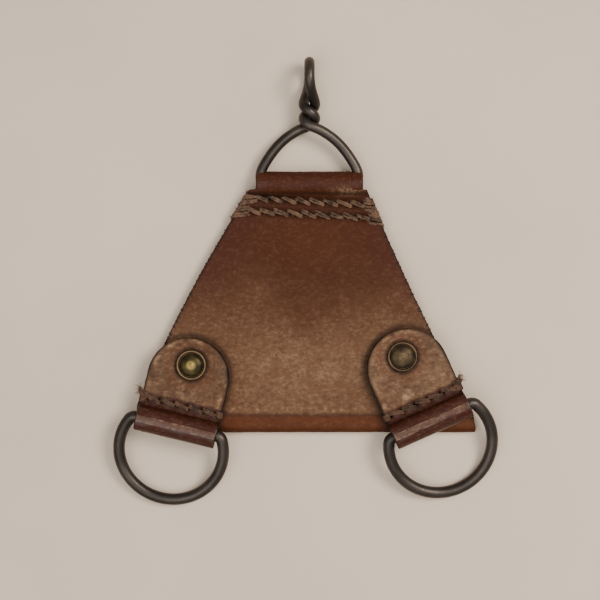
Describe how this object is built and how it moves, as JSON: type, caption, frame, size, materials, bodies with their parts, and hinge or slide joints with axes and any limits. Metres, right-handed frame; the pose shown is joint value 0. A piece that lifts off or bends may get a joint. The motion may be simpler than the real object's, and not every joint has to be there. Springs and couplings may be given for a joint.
{
  "type": "leather strap yoke",
  "caption": "Old folded leather strap yoke: a trapezoid pad with a twisted wire hanger in its top fold and riveted, sewn D-ring tabs on its lower corners.",
  "frame": {"origin": "on the flat back face of the leather panel, midway between its top and bottom folds", "axes": "+X to the right seen from the front, +Y towards the wire hanger, +Z out of the front face"},
  "size_m": [0.119, 0.1386, 0.0132],
  "materials": {
    "panel_leather": "worn dark brown harness leather",
    "tab_leather": "worn brown leather with glossy folds",
    "hanger_steel": "dark oxidised steel wire",
    "ring_steel": "dark oxidised steel wire, worn brighter on the bow",
    "rivet_brass": "tarnished brass, polished on the crown",
    "washer_brass": "dark tarnished brass",
    "row_thread": "waxed olive-brown linen thread",
    "tab_thread": "waxed brown linen thread",
    "seam_thread": "dark waxed thread"
  },
  "bodies": {
    "yoke": {"body_panel": "panel_leather", "left_tab": "tab_leather", "right_tab": "tab_leather", "left_rivet": "rivet_brass", "right_rivet": "rivet_brass", "left_cup_washer": "washer_brass", "right_cup_washer": "washer_brass", "left_rivet_burr": "washer_brass", "right_rivet_burr": "washer_brass", "upper_stitch_row": "row_thread", "lower_stitch_row": "row_thread", "left_tab_stitches": "tab_thread", "right_tab_stitches": "tab_thread", "left_side_seam": "seam_thread", "right_side_seam": "seam_thread"},
    "hanger": {"hanger_wire": "hanger_steel"},
    "left_ring": {"left_d_ring": "ring_steel"},
    "right_ring": {"right_d_ring": "ring_steel"}
  },
  "joints": [
    {"name": "hanger_swing", "type": "hinge", "parent": "yoke", "child": "hanger", "pos_m": [0.0017, 0.0367, 0.0038], "axis": [1, 0, 0], "range_deg": [-75, 80]},
    {"name": "left_ring_swing", "type": "hinge", "parent": "yoke", "child": "left_ring", "pos_m": [-0.0391, -0.0381, 0.00842], "axis": [0.9724, -0.2334, 0], "range_deg": [-180, 18]},
    {"name": "right_ring_swing", "type": "hinge", "parent": "yoke", "child": "right_ring", "pos_m": [0.039, -0.0364, 0.00842], "axis": [0.9135, 0.4067, 0], "range_deg": [-180, 18]}
  ]
}
